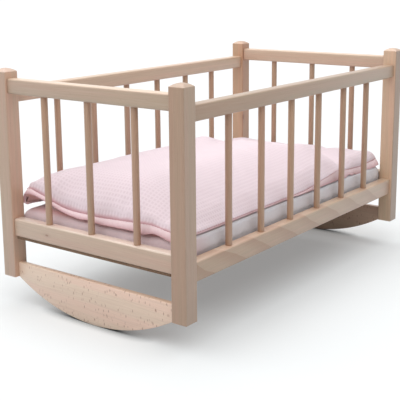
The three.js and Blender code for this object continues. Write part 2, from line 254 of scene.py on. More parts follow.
light_set()
lay_paper()
scene.view_settings.view_transform = "Standard"
print("sun spread", round(math.degrees(SUN_SPREAD)), "degrees, fill", FILL_STRENGTH)

# %% [markdown]
# ## The beech
# Beech is a pale, even wood. What the eye reads as beech is a slow drift between a pink and a straw
# tone along the board, fine straight growth lines, and many small dark flecks where the rays are cut.
# Image textures would do this, but a pattern built from noise in the wood's own space runs through the
# piece, so a post's cap shows end grain and its sides show long grain with no seam. Each piece carries
# that space as an attribute: x along the grain, y across the board and z through it, with its own
# random offset, as if every stick were sawn from another part of the log. The long bottom rails are cut
# so that their rings show as a row of slanting flames, and two sticks have a knot.

# %% The wood
STRAW = (0.60, 0.445, 0.325, 1)
BLUSH = (0.62, 0.42, 0.315, 1)
GROWTH = (0.44, 0.29, 0.205, 1)
FLECK = (0.33, 0.17, 0.11, 1)
PALE = (0.73, 0.595, 0.475, 1)
OLIVE = (0.51, 0.40, 0.29, 1)
RUSSET = (0.44, 0.255, 0.17, 1)
RINGS_PER_METRE = 520.0
FLAMES_PER_METRE = 17.0
PITH = (0.03, 0.045)
KNOT_STRETCH = (0.45, 1, 1)


def beech(name, growth, flecks=0.25, rays=0.0, figure=0.0, stripes=0.35, knots=()):
    """One cut of beech. The numbers say how strongly each of its marks shows."""
    material, tree, surface = new_material(name)
    at = node(tree, "Attribute", attribute_name="grain").outputs["Vector"]
    along, *sides = split(at)
    drift = noise_node(at, (4, 60, 60))
    colour = mixed(remap(drift, 0.35, 0.65), STRAW, BLUSH)
    # growth rings: the distance from a pith that lies outside the stick, bent by slow noise
    bent = math_node("MULTIPLY", noise_node(at, (5, 14, 14), 1.0), 0.02)
    offset = [math_node("ADD", side, far) for side, far in zip(sides, PITH)]
    squares = [math_node("POWER", part, 2.0) for part in offset]
    radius = math_node("SQRT", math_node("ADD", *squares))
    ring = math_node("MULTIPLY", math_node("ADD", radius, bent), RINGS_PER_METRE)
    line = remap(math_node("FRACT", ring), 0.55, 1.0)
    fibre = noise_node(at, (30, 1400, 1400), 3.0, 0.6)
    streak = noise_node(at, (9, 420, 420))
    stripe = noise_node(at, (2.5, 190, 190), 1.0)
    patches = remap(noise_node(at, (40, 90, 90), 1.0), 0.45, 0.6)
    pore = math_node("MULTIPLY", spots_node(at, (130, 900, 900), 0.10, 0.26), patches)
    pore = math_node("MULTIPLY", pore, flecks)
    for share, tint in (
        (math_node("MULTIPLY", line, growth), GROWTH),
        (remap(streak, 0.45, 0.8, 0.0, 0.35), GROWTH),
        (remap(stripe, 0.42, 0.62, 0.0, stripes), OLIVE),
        (remap(fibre, 0.4, 0.75, 0.0, 0.3), PALE),
        (pore, FLECK),
    ):
        colour = mixed(share, colour, tint)
    if rays:
        patches = remap(noise_node(at, (70, 90, 90)), 0.42, 0.58)
        ray = math_node("MULTIPLY", spots_node(at, (380, 130, 130), 0.16, 0.34), patches)
        colour = mixed(math_node("MULTIPLY", ray, rays), colour, FLECK)
    if figure:
        lean = math_node("MULTIPLY_ADD", sides[0], 1.8, along)
        wander = math_node("MULTIPLY", noise_node(at, (16, 40, 40), 1.0), 0.02)
        flame = math_node("MULTIPLY", math_node("ADD", lean, wander), FLAMES_PER_METRE)
        flame = remap(math_node("FRACT", flame), 0.25, 0.97)
        colour = mixed(math_node("MULTIPLY", flame, figure), colour, RUSSET)
    for place, size in knots:
        away = node(tree, "VectorMath", operation="DISTANCE")
        centre = [part * share for part, share in zip(place, KNOT_STRETCH)]
        feed(away, {0: scaled(at, KNOT_STRETCH), 1: centre})
        for core, rim, strength, tint in ((1, 3, 0.35, GROWTH), (0.4, 1, 0.9, FLECK)):
            share = remap(away.outputs["Value"], size * core, size * rim, strength, 0.0)
            colour = mixed(share, colour, tint)
    # the tone is each stick's colour, with painted light and shade on some sticks and faces
    tone = node(tree, "Attribute", attribute_name="tone").outputs["Color"]
    add_bump(surface, math_node("SUBTRACT", fibre, pore), 0.25, 0.3 * MM)
    feed(surface, {
        "Base Color": mixed(1.0, colour, tone, "MULTIPLY"),
        "Roughness": remap(fibre, 0.3, 0.8, 0.38, 0.52),
        "Specular IOR Level": 0.5, "Coat Weight": 0.75, "Coat Roughness": 0.35,
    })
    return material


post_wood = beech("beech_post", growth=0.17)
rail_wood = beech("beech_rail", growth=0.17)
figured_wood = beech("beech_figured", growth=0.12, flecks=0.2, figure=0.55)
rod_wood = beech("beech_rod", growth=0.35, flecks=0.3, stripes=0.0)
rocker_wood = beech("beech_rocker", growth=0.10, flecks=0.2, rays=0.95, stripes=0.0)
print("woods:", [m.name for m in bpy.data.materials if m.name.startswith("beech")])

# %% [markdown]
# ## Turning a solid into a finished stick
# Every wooden piece goes through the same last steps: its mesh becomes an object at the origin, it is
# shaded smooth except over real corners, it carries the grain space, and it takes over from the plain
# solid of the same name. One function does this, so a rail and a post can't drift apart. Sticks from
# one shop are never one colour, so each piece also carries a tone, set face by face, which the material
# multiplies in. A few sticks have their tone set, partly as painted shade and light, and some of their
# faces get painted light or shade for how the light falls on the tops, the foot sides and the front
# sides.

# %% The tones of the sticks
# set tones: partly a stick's own colour, partly painted shade and light, such as the darker front rails
STICK_TONE_AND_SHADE = {
    "post_foot_front": (0.76, 0.685, 0.63),
    "post_foot_back": (0.90, 0.83, 0.81),
    "post_head_front": (0.85, 0.79, 0.73),
    "post_head_back": (0.80, 0.665, 0.555),
    "rocker_foot": (1.31, 1.35, 1.43),
    "rocker_head": (1.0, 0.95, 0.92),
    "side_top_rail_front": (0.69, 0.66, 0.61),
    "side_bottom_rail_front": (0.81, 0.78, 0.745),
    "side_top_rail_back": (0.99, 0.955, 0.92),
    "end_top_rail_foot": (0.81, 0.795, 0.775),
    "end_bottom_rail_foot": (0.905, 0.885, 0.90),
    "end_top_rail_head": (1.07, 1.06, 1.04),
}
# painted light and shade on single faces: most tops are lighter, for light and varnish sheen from above,
# and the sides that face the foot or the front are lighter or darker for how the light falls on them
FACE_LIGHT_AND_SHADE = {
    "post_foot_front": {"foot": (0.93, 0.88, 0.86), "front": (1.0, 1.02, 1.05)},
    "post_foot_back": {"foot": (0.95, 0.95, 0.95), "front": (1.2, 1.22, 1.2)},
    "post_head_front": {"foot": (1.4, 1.42, 1.42), "front": (0.62, 0.59, 0.56)},
    "post_head_back": {"foot": (1.22, 1.2, 1.18), "front": (0.96, 0.87, 0.81)},
    "end_top_rail_foot": {"top": (1.42, 1.48, 1.50)},
    "end_bottom_rail_foot": {"top": (1.30, 1.47, 1.64)},
    "rocker_foot": {"top": (1.15, 1.15, 1.1)},
    "side_top_rail_front": {"top": (0.94, 0.94, 0.94)},
    "side_bottom_rail_front": {"top": (1.15, 1.15, 1.15)},
}
ROD_TINT = (0.80, 0.665, 0.565)


def stick_tone(name):
    """The tone of a whole stick: a few are set, partly as painted shade and light, and the rest are drawn
    at random.
    """
    dice = random.Random(name + "tone")
    drawn = dice.uniform(0.82, 0.96)
    warm = dice.uniform(-0.02, 0.02)
    red, green, blue = ROD_TINT if "spindle" in name else (1, 1, 1)
    return STICK_TONE_AND_SHADE.get(name, ((drawn + warm) * red, drawn * green, (drawn - warm) * blue)) + (1,)


print("tones set for", len(STICK_TONE_AND_SHADE), "sticks")

# %% The grain space
def corners(name):
    low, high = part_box(name)
    return Vector(low), Vector(high)


def grain_at(points, middle, along, name):
    """Cradle points as x along the grain, y across and z through, with the piece's own offset."""
    axes = {"X": (0, 2, 1), "Y": (1, 2, 0), "Z": (2, 0, 1)}[along]
    dice = random.Random("wood_" + name)
    offset = [dice.uniform(0, 3), dice.uniform(0, 0.03), dice.uniform(0, 0.03)]
    lean = dice.uniform(-0.02, 0.02)
    local = (points - middle)[:, axes]
    local[:, 1] += lean * local[:, 0]
    return local + np.array(offset)


def knot_at(name, along, spot, size):
    """A knot at a point of the cradle, given in mm, for the material of one stick."""
    low, high = corners(name)
    middle = np.array((low + high) / 2)
    return tuple(grain_at(np.array([spot]) * MM, middle, along, name)[0]), size * MM


def add_grain(mesh, along, name):
    points = np.empty(len(mesh.vertices) * 3)
    mesh.vertices.foreach_get("co", points)
    points = points.reshape(-1, 3)
    middle = (points.min(0) + points.max(0)) / 2
    space = mesh.attributes.new("grain", "FLOAT_VECTOR", "POINT")
    space.data.foreach_set("vector", grain_at(points, middle, along, name).astype(np.float32).ravel())
    count = len(mesh.polygons)
    normals = np.empty(count * 3)
    mesh.polygons.foreach_get("normal", normals)
    # faces that look to the foot, to the front or up take their painted light and shade
    facing = np.clip(normals.reshape(-1, 3) * (-1, -1, 1), 0, 1) ** 2
    shade = np.tile(stick_tone(name), (count, 1))
    for side, weight in zip(("foot", "front", "top"), facing.T):
        change = FACE_LIGHT_AND_SHADE.get(name, {}).get(side, (1, 1, 1))
        shade[:, :3] *= 1 + weight[:, None] * (np.array(change) - 1)
    tone = mesh.attributes.new("tone", "FLOAT_COLOR", "FACE")
    tone.data.foreach_set("color", shade.astype(np.float32).ravel())


print("grain ready")

# %% Finish a wooden piece
REAL_CORNER = math.radians(38)
pieces = {}


def as_object(shape, name, materials):
    mesh = bpy.data.meshes.new(name)
    bmesh.ops.recalc_face_normals(shape, faces=shape.faces)
    shape.to_mesh(mesh)
    shape.free()
    mesh.shade_smooth()
    for material in materials:
        mesh.materials.append(material)
    piece = bpy.data.objects.new(name, mesh)
    scene.collection.objects.link(piece)
    pieces[name] = piece
    return piece


def finish_wood(shape, name, material, along):
    bmesh.ops.remove_doubles(shape, verts=shape.verts, dist=1e-6)
    piece = as_object(shape, "wood_" + name, [material])
    piece.data.set_sharp_from_angle(angle=REAL_CORNER)
    add_grain(piece.data, along, name)
    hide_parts(name)
    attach(piece, "frame")


def edges_along(shape, axis, tolerance=1e-5):
    """The edges that run along the axis."""
    found = []
    for edge in shape.edges:
        span = edge.verts[1].co - edge.verts[0].co
        others = [abs(span[i]) for i in range(3) if i != axis]
        if max(others) < tolerance and abs(span[axis]) > tolerance:
            found.append(edge)
    return found


def edges_at(shape, axis, *levels):
    """The edges that lie in a plane across the axis, at one of the levels."""
    return [
        edge for edge in shape.edges
        if any(all(abs(vert.co[axis] - level) < 1e-6 for vert in edge.verts) for level in levels)
    ]


def new_verts(grown):
    return [item for item in grown["geom"] if isinstance(item, bmesh.types.BMVert)]


def round_over(shape, edges, radius, segments):
    bmesh.ops.bevel(
        shape, geom=edges, offset=radius, offset_type="OFFSET", segments=segments, profile=0.5,
        affect="EDGES", clamp_overlap=True, material=-1,
    )


print("finishing steps ready")

# %% [markdown]
# ## Rails
# A rail is a planed strip with its long edges rounded over by a router and its ends cut square, then
# eased by a touch of sandpaper, which leaves the fine dark line where it meets a post. A box with two
# bevels does exactly what the workshop does: a wide one along the edges, and a narrow one round the
# ends. The bottom rail at the foot end has one small knot, so it gets a wood of its own.

# %% Make the rails
RAIL_ROUND = 2.4 * MM
RAIL_EASE = 0.9 * MM
RAIL_KNOT = (-267, 70, 102)
RAIL_KNOT_SIZE = 1.6


def make_rail(name, along, material):
    low, high = corners(name)
    axis = "XYZ".index(along)
    shape = bmesh.new()
    bmesh.ops.create_cube(shape, size=1)
    bmesh.ops.scale(shape, vec=high - low, verts=shape.verts)
    bmesh.ops.translate(shape, vec=(low + high) / 2, verts=shape.verts)
    round_over(shape, edges_along(shape, axis), RAIL_ROUND, 5)
    round_over(shape, edges_at(shape, axis, low[axis], high[axis]), RAIL_EASE, 3)
    finish_wood(shape, name, material, along)


for side in ("front", "back"):
    make_rail(f"side_top_rail_{side}", "X", rail_wood)
    make_rail(f"side_bottom_rail_{side}", "X", figured_wood)
for end in ("foot", "head"):
    make_rail(f"end_top_rail_{end}", "Y", rail_wood)
rail_knot = knot_at("end_bottom_rail_foot", "Y", RAIL_KNOT, RAIL_KNOT_SIZE)
knotty_wood = beech("beech_knotty", growth=0.2, knots=[rail_knot])
make_rail("end_bottom_rail_foot", "Y", knotty_wood)
make_rail("end_bottom_rail_head", "Y", rail_wood)
print("rails:", [n for n in pieces if "rail" in n])

# %% [markdown]
# ## Posts
# Each post is a square stick whose top is shaped on a sander into a low square dome, with a crisp
# shoulder all round. A fine grid makes the dome, because its height can follow a formula; its rim is
# then extruded down to the foot, the upright edges are rounded, and the shoulder gets a hair of a bevel
# to catch the light. The far post has a dark knot inside, above the bedding.

# %% Make the posts
POST_CORNER = 1.6 * MM
CAP_RISE = 4.2 * MM
CAP_GRID = 16
FOOT_EASE = 0.5 * MM
POST_KNOT = (252, 129, 176)
POST_KNOT_SIZE = 3.0


def make_post(name, material):
    low, high = corners(name)
    middle = (low + high) / 2
    half = (high.x - low.x) / 2
    shoulder = high.z - CAP_RISE
    shape = bmesh.new()
    bmesh.ops.create_grid(shape, x_segments=CAP_GRID, y_segments=CAP_GRID, size=half)
    for vert in shape.verts:
        # the dome's outline is between a square and a rounded square
        out_x = min(abs(vert.co.x) / half, 1)
        out_y = min(abs(vert.co.y) / half, 1)
        soft = (out_x ** 8 + out_y ** 8) ** 0.125
        share = min(0.6 * max(out_x, out_y) + 0.4 * min(soft, 1), 1)
        vert.co += Vector((middle.x, middle.y, shoulder + CAP_RISE * (1 - share ** 2)))
    rim = [edge for edge in shape.edges if edge.is_boundary]
    for vert in new_verts(bmesh.ops.extrude_edge_only(shape, edges=rim)):
        vert.co.z = low.z
    bmesh.ops.contextual_create(shape, geom=[edge for edge in shape.edges if edge.is_boundary])
    bmesh.ops.recalc_face_normals(shape, faces=shape.faces)
    uprights = [
        edge for edge in edges_along(shape, 2)
        if all(abs(abs(v.co.x - middle.x) - half) < 1e-6 and abs(abs(v.co.y - middle.y) - half) < 1e-6
               for v in edge.verts)
    ]
    round_over(shape, uprights, POST_CORNER, 4)
    ring = edges_at(shape, 2, low.z)
    round_over(shape, [edge for edge in ring if len(edge.link_faces) == 2], FOOT_EASE, 2)
    finish_wood(shape, name, material, "Z")


post_knot = knot_at("post_head_back", "Z", POST_KNOT, POST_KNOT_SIZE)
knotty_post_wood = beech("beech_post_knot", growth=0.3, knots=[post_knot])
for end in ("foot", "head"):
    for side in ("front", "back"):
        name = f"post_{end}_{side}"
        make_post(name, knotty_post_wood if name == "post_head_back" else post_wood)
print("posts:", [n for n in pieces if "post" in n])

# %% [markdown]
# ## Spindles
# The spindles are plain round rod, cut to length and glued into blind holes. A circle swept up makes
# the rod; thirty-two sides are enough for a smooth outline at this size, and the ends disappear in the
# rails.

# %% Make the spindles
ROD_SIDES = 32
ROD_EASE = 0.5 * MM


def make_rod(name):
    low, high = corners(name)
    radius = (high.x - low.x) / 2
    shape = bmesh.new()
    bmesh.ops.create_cone(
        shape, cap_ends=True, segments=ROD_SIDES, radius1=radius, radius2=radius, depth=high.z - low.z,
        matrix=Matrix.Translation((low + high) / 2),
    )
    round_over(shape, edges_at(shape, 2, low.z, high.z), ROD_EASE, 2)
    finish_wood(shape, name, rod_wood, "Z")


SPINDLE_ROWS = {
    "side_spindle_front": 6, "side_spindle_back": 6, "end_spindle_foot": 3, "end_spindle_head": 3,
}
for row, count in SPINDLE_ROWS.items():
    for number in range(1, count + 1):
        make_rod(f"{row}_{number}")
print("spindles:", len([n for n in pieces if "spindle" in n]))

# %% [markdown]
# ## Rockers
# A rocker is a thin board with a straight top and a shallow arc below. The arc is part of a large
# circle, so a disc of that radius is cut back by three planes until only the rocker's outline is left,
# and that outline is thickened. The posts' feet hang clear of the floor by the depth of the arc.

# %% Make the rockers
ROCKER_EASE = 0.8 * MM
ROCKER_DROP = corners("post_foot_front")[0].z
DISC_SIDES = 400


def make_rocker(name):
    low, high = corners(name)
    thick = high.x - low.x
    half = (high.y - low.y) / 2
    radius = (half ** 2 + ROCKER_DROP ** 2) / (2 * ROCKER_DROP)
    shape = bmesh.new()
    upright = Matrix.Rotation(math.radians(90), 4, "Y")
    place = Matrix.Translation(((low.x + high.x) / 2, 0, low.z + radius)) @ upright
    bmesh.ops.create_circle(shape, cap_ends=True, radius=radius, segments=DISC_SIDES, matrix=place)
    cuts = (((0, 0, high.z), (0, 0, 1)), ((0, high.y, 0), (0, 1, 0)), ((0, low.y, 0), (0, -1, 0)))
    for point, normal in cuts:
        geom = shape.verts[:] + shape.edges[:] + shape.faces[:]
        bmesh.ops.bisect_plane(shape, geom=geom, plane_co=point, plane_no=normal, clear_outer=True)
    grown = bmesh.ops.extrude_face_region(shape, geom=shape.faces[:])
    bmesh.ops.translate(shape, vec=(thick, 0, 0), verts=new_verts(grown))
    bmesh.ops.translate(shape, vec=(-thick / 2, 0, 0), verts=shape.verts)
    bmesh.ops.recalc_face_normals(shape, faces=shape.faces)
    round_over(shape, edges_at(shape, 0, low.x, high.x), ROCKER_EASE, 3)
    finish_wood(shape, name, rocker_wood, "Y")


make_rocker("rocker_foot")
make_rocker("rocker_head")
print("rockers:", [n for n in pieces if "rocker" in n])

# %% [markdown]
# ## Board, pegs and nails
# The base is a sheet of hardboard, brown right through, which shows as a dark line under the foot rail.
# The pegs and the nails are out of sight in the joints, but the cradle can be taken apart on a screen,
# so they get their own finish too: unvarnished end grain for the pegs and dull drawn wire for the nails.
# They keep their plain solids, whose Object coordinates are the cradle's own.

# %% Finish the hidden pieces
BOARD_DARK = (0.115, 0.062, 0.034, 1)
BOARD_LIGHT = (0.21, 0.125, 0.072, 1)
BOARD_WORN = (0.26, 0.16, 0.10, 1)
PEG_DARK = (0.60, 0.44, 0.31, 1)
PEG_LIGHT = (0.70, 0.54, 0.40, 1)
WIRE_DARK = (0.50, 0.50, 0.51, 1)
WIRE_LIGHT = (0.60, 0.60, 0.60, 1)


def in_the_room(name):
    """A new material, with the point of the cradle that is being coloured."""
    material, tree, surface = new_material(name)
    return material, tree, surface, node(tree, "TexCoord").outputs["Object"]


def hardboard():
    material, tree, surface, at = in_the_room("hardboard")
    flock = noise_node(at, (420, 420, 900), 4.0, 0.65)
    colour = mixed(remap(flock, 0.3, 0.7), BOARD_DARK, BOARD_LIGHT)
    blotch = remap(noise_node(at, (25, 25, 25)), 0.35, 0.7, 0.0, 0.4)
    feed(surface, {"Base Color": mixed(blotch, colour, BOARD_WORN), "Roughness": 0.7})
    add_bump(surface, flock, 0.3, 0.2 * MM)
    return material


def peg_wood():
    material, tree, surface, at = in_the_room("peg_wood")
    fibre = noise_node(at, (700, 700, 700), 3.0, 0.6)
    colour = mixed(remap(fibre, 0.35, 0.65), PEG_DARK, PEG_LIGHT)
    feed(surface, {"Base Color": colour, "Roughness": 0.75})
    return material


def nail_steel():
    material, tree, surface, at = in_the_room("nail_steel")
    drawn = noise_node(at, (3000, 3000, 200))
    colour = mixed(drawn, WIRE_DARK, WIRE_LIGHT)
    rough = remap(drawn, 0.3, 0.7, 0.32, 0.5)
    feed(surface, {"Base Color": colour, "Roughness": rough, "Metallic": 1.0})
    return material


finishes = {"base_board": hardboard(), "_peg_": peg_wood(), "_nail_": nail_steel()}
dressed = 0
for name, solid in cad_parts.items():
    for part, finish in finishes.items():
        if part in name:
            solid.data.materials.clear()
            solid.data.materials.append(finish)
            dressed += 1
print("dressed:", dressed)

# %% [markdown]
# ## Cloth
# The duvet and the pillow are covered in a pink waffle weave: small square cells with raised edges,
# about 5 mm apart, which turn grey and vanish at a distance. Their hollows are painted in a greyer
# shade. The cell pattern follows the cloth, so it is drawn in the cloth's own flat coordinates, in
# metres, and not in the room's. A plain weave with finer threads covers the mattress. The same recipe
# makes all of them, with the cells left out where there are none. Two more marks need a place: along a
# seam the cloth is painted darker, as shade in its puckers, and at its foot end the white cover is
# painted pink, as light bounced from the pink bedding and shade beneath it.

# %% Cloth materials
SEAM_SHADE_PINK = (0.62, 0.34, 0.37, 1)
# the waffle's raised edges, and its hollows in painted shade
WAFFLE_HIGH = (0.80, 0.675, 0.72, 1)
WAFFLE_HOLLOW_SHADE = (0.74, 0.61, 0.655, 1)
WAFFLE_CELL = 4.9 * MM
HEM_CUT = 12.0
FOOT_END = corners("mattress")[0].x
BED_TOP = corners("mattress")[1].z


def woven(
    name, colour, shade, cell=0.0, depth=0.3 * MM, fuzz=0.0, seam=None, shade_reach=0.0, shade_strength=0.0, painted_bounce=(),
):
    """A woven cloth: seam is how far it lies from the middle both ways, and the last argument a list of
    painted pink bounce light and shade tints.
    """
    material, tree, surface = new_material(name)
    at = node(tree, "UVMap", uv_map="cloth").outputs[0]
    flat = split(at)[:2]
    thread = noise_node(at, (2200, 2200, 1), 2.0, 0.6)
    height = math_node("MULTIPLY", thread, 0.25)
    tone = colour
    if cell:
        # the cells' hollows take the second colour, painted shade, beside the bump's real relief
        turns = [math_node("MULTIPLY", way, 2 * math.pi / cell) for way in flat]
        waves = [math_node("COSINE", turn) for turn in turns]
        waffle = remap(math_node("MAXIMUM", *waves), -0.35, 0.8)
        height = math_node("ADD", height, waffle)
        tone = mixed(waffle, shade, colour)
    cloud = noise_node(at, (28, 28, 1))
    tone = mixed(remap(cloud, 0.35, 0.7, 0.0, 0.15), tone, shade)
    if fuzz:
        pile = noise_node(at, (260, 260, 1), 3.0, 0.7)
        tone = mixed(remap(pile, 0.4, 0.7, 0.0, fuzz), tone, shade)
        height = math_node("MULTIPLY_ADD", pile, 2.0, height)
    # near a seam, and along a hem's two edges, the cloth is painted darker as shade, fading out over the
    # given distance in mm
    if seam:
        away = [math_node("ABSOLUTE", way) for way in flat]
        gaps = [math_node("SUBTRACT", reach, part) for reach, part in zip(seam, away)]
        seam_shade_mask = remap(math_node("MINIMUM", *gaps), 0.3 * MM, shade_reach * MM, shade_strength, 0.0)
        tone = mixed(seam_shade_mask, tone, SEAM_SHADE_PINK)
    if painted_bounce:
        room = split(node(tree, "TexCoord").outputs["Object"])
    # painted pink light bounced from the bedding, and painted shade, fading in along the given axes
    for bounce_colour, *limits in painted_bounce:
        amount = 1.0
        for axis, start, end in limits:
            ends = (start, end, 0.0, 1.0) if start < end else (end, start, 1.0, 0.0)
            near = remap(room["XYZ".index(axis)], *ends)
            amount = math_node("MULTIPLY", near, amount)
        tone = mixed(amount, tone, mixed(1.0, tone, bounce_colour, "MULTIPLY"))
    add_bump(surface, height, 0.6, depth)
    feed(surface, {"Base Color": tone, "Roughness": 0.9, "Specular IOR Level": 0.2})
    feed(surface, {"Sheen Weight": 0.25, "Sheen Roughness": 0.5})
    return material


def waffle_weave(name, seam, shade_reach):
    return woven(name, WAFFLE_HIGH, WAFFLE_HOLLOW_SHADE, WAFFLE_CELL, 0.2 * MM, seam=seam, shade_reach=shade_reach, shade_strength=0.9)


# each painted tint is pink light bounced from the bedding and shade: its colour, then where it fades in,
# from the first place to the second, along an axis
WALL_PINK_BOUNCE = (
    (1.03, 0.85, 0.84, 1),
    ("X", FOOT_END + 65 * MM, FOOT_END + 15 * MM),
    ("Z", BED_TOP - 1 * MM, BED_TOP - 7 * MM),
)
TOP_PINK_BOUNCE = (
    (1.01, 0.70, 0.67, 1),
    ("X", FOOT_END + 22 * MM, FOOT_END + 6 * MM),
    ("Z", BED_TOP - 7 * MM, BED_TOP - 1 * MM),
)
# a hem is painted darker along its edges only, as shade, so its ends are placed far beyond its real
# length
HEM_SEAM = (9, HEM_CUT * MM)
COTTON = ((0.755, 0.735, 0.77, 1), (0.695, 0.665, 0.70, 1))
HEM_PINK = ((0.83, 0.66, 0.68, 1), (0.76, 0.54, 0.56, 1))
# the underside panels get a deeper, redder pink than the top: painted shade, with pink light bounced and
# let through under the bag
UNDERSIDE_SHADE_PINK = ((0.98, 0.58, 0.54, 1), (0.92, 0.50, 0.47, 1))
THREAD_PINK = ((0.60, 0.32, 0.35, 1), (0.50, 0.25, 0.28, 1))
ticking = woven("white_cotton", *COTTON, fuzz=0.4, painted_bounce=(WALL_PINK_BOUNCE, TOP_PINK_BOUNCE))
hem_cloth = woven("pink_hem", *HEM_PINK, seam=HEM_SEAM, shade_reach=10, shade_strength=0.8)
underside_cloth = woven("pink_underside_shade", *UNDERSIDE_SHADE_PINK)
thread_cloth = woven("pink_thread", *THREAD_PINK)
print("cloths ready")

# %% [markdown]
# ## How a bag of cloth is laid out
# A duvet cover, a pillow case and a mattress cover are all two panels sewn together along their rim.
# Each panel starts here as a flat grid that runs from -1 to 1 both ways. A rule then says where every
# point of the cloth lies: across the flat middle, round the edge, and down the side to the seam. The
# two panels share the seam, so merging their rims closes the bag. A hand-drawn list of points would
# never keep its rows straight, and the rows matter, because the weave follows them. From here on the
# rules work in millimetres, and the cloth is scaled down to metres as its points are placed.

# %% Folds, seams and dents
STITCH_STEP = 5.2
STITCH_DENT = 0.9
REST_HEIGHT = -0.05
ALMOST_ONE = 0.9999
BED_LEVEL = BED_TOP / MM + 0.5


def fold_over(distance, reach, radius):
    """A sheet lying flat turns down over an edge: how far out a point gets, and how far down."""
    flat = reach - radius
    beyond = np.clip(distance - flat, 0, None)
    angle = np.clip(beyond / radius, 0, math.pi / 2)
    out = np.where(beyond > 0, flat + radius * np.sin(angle), distance)
    down = radius * (1 - np.cos(angle)) + np.clip(beyond - radius * math.pi / 2, 0, None)
    return out, down


def sheet_length(reach, radius, depth):
    return reach - radius + radius * math.pi / 2 + max(depth - radius, 0)


def along_table(table, at, soften=7.0):
    """Reads a table of (place, value) pairs as one smooth curve."""
    places, values = np.array(table, dtype=float).T
    steps = np.linspace(-2.5, 2.5, 11) * soften * 0.6
    weights = np.exp(-(steps / soften) ** 2)
    total = sum(w * np.interp(at + s, places, values) for s, w in zip(steps, weights))
    return total / weights.sum()


def smooth_step(low, high, value):
    share = np.clip((value - low) / (high - low), 0, 1)
    return share * share * (3 - 2 * share)


def ripple(x, y, size, seed):
    """Gentle noise, about -1 to 1, whose bumps are about `size` apart."""
    shift = seed * 7.31
    spots = zip(np.ravel(x) / size, np.ravel(y) / size)
    made = [noise.noise((a + shift, b - shift, shift)) for a, b in spots]
    return np.reshape(made, np.shape(x)) * 1.6


def humps(x, y, table):
    """Soft rises and dips, each given as (rise, x, y, width, depth)."""
    return sum(
        rise * np.exp(-((x - at_x) / wide) ** 2 - ((y - at_y) / deep) ** 2)
        for rise, at_x, at_y, wide, deep in table
    )


def seam_level(x, seams):
    """How high an underside is: at each seam its table's height, falling to the mattress inside."""
    level = np.full_like(x, REST_HEIGHT)
    for table, at, gap, width in seams:
        hold = np.clip(1 - gap / width, 0, 1) ** 1.6
        level = level + (along_table(table, at) - level) * hold
    return level


def gathers(along, inward, puff, seed):
    """Small puckers beside a stitched seam, with a dent at every stitch."""
    pucker = np.exp(-inward / 8) * smooth_step(0, 4, inward) * ripple(along, inward * 0.25, 6, seed)
    dent = np.exp(-inward / 3.5) * smooth_step(0, 1.5, inward)
    dent = dent * (0.5 + 0.5 * np.cos(2 * math.pi * along / STITCH_STEP))
    return puff * pucker - STITCH_DENT * dent


def on_rim(u, v):
    return (np.maximum(np.abs(u), np.abs(v)) > ALMOST_ONE)[:, None]


print("folds ready")

# %% Sheets and bags
def grid_panel(shape, columns, rows, place, cut, uv_layer):
    """Adds a grid, each point moved by place(u, v) in mm, with cut(u, v) as its flat coordinates."""
    verts = bmesh.ops.create_grid(shape, x_segments=columns, y_segments=rows, size=1)["verts"]
    u, v, _ = np.array([vert.co for vert in verts]).T
    flat_of = {}
    for vert, spot, flat in zip(verts, place(u, v), cut(u, v)):
        vert.co = Vector(spot) * MM
        flat_of[vert] = flat * MM
    for face in {f for vert in verts for f in vert.link_faces}:
        for loop in face.loops:
            loop[uv_layer].uv = flat_of[loop.vert]
    return verts


def open_faces(shape):
    return [face for face in shape.faces if any(len(edge.link_faces) == 1 for edge in face.edges)]


def finish_cloth(shape, name, materials, body, stands_for=None, levels=1):
    bmesh.ops.remove_doubles(shape, verts=shape.verts, dist=2e-5)
    # where a corner folds both ways, the cloth lies flat on itself in a narrow flap, which comes off
    while open_faces(shape):
        bmesh.ops.delete(shape, geom=open_faces(shape), context="FACES")
    piece = as_object(shape, name, materials)
    if levels:
        fine = piece.modifiers.new("finer", "SUBSURF")
        fine.levels = levels
        fine.render_levels = levels
    if stands_for:
        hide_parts(stands_for)
    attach(piece, body)


def make_bag(body, grid, panels, materials, levels=0):
    """Sews a top and a bottom panel into the cover that takes over from one soft solid."""
    top, bottom, cut = panels
    shape = bmesh.new()
    uv_layer = shape.loops.layers.uv.new("cloth")
    grid_panel(shape, *grid, top, cut, uv_layer)
    under = grid_panel(shape, *grid, bottom, cut, uv_layer)
    # the bottom panel takes the last material, which for the duvet and pillow is their underside's
    # painted shade
    for face in {f for vert in under for f in vert.link_faces}:
        face.material_index = len(materials) - 1
    finish_cloth(shape, "cover_" + body, materials, body, body, levels)
    print("cover:", body, [round(v, 3) for v in pieces["cover_" + body].dimensions])


print("cloth steps ready")

# %% [markdown]
# ## The mattress
# The mattress is a slab of soft foam in a loose white cover. It is a little domed, its edges are worn
# round, and the cover puckers along the bottom where it is tucked in. Nearly all the numbers below are
# lengths in millimetres.

# %% Make the mattress
MATTRESS_ROUND_END = 11.0
MATTRESS_ROUND_SIDE = 3.0
MATTRESS_SIDE = 33.0
MATTRESS_CROWN = 1.2
MATTRESS_SAG = 2.4
MATTRESS_PULL = 0.5
MATTRESS_TUCK = 0.7
MATTRESS_WALL = 2.0
MATTRESS_SEAM = 1.5
MATTRESS_UNDER = (0.985, 0.15)
MATTRESS_GRID = (104, 64)
MATTRESS_SLACK = Vector((3.5, 4.3, 0))


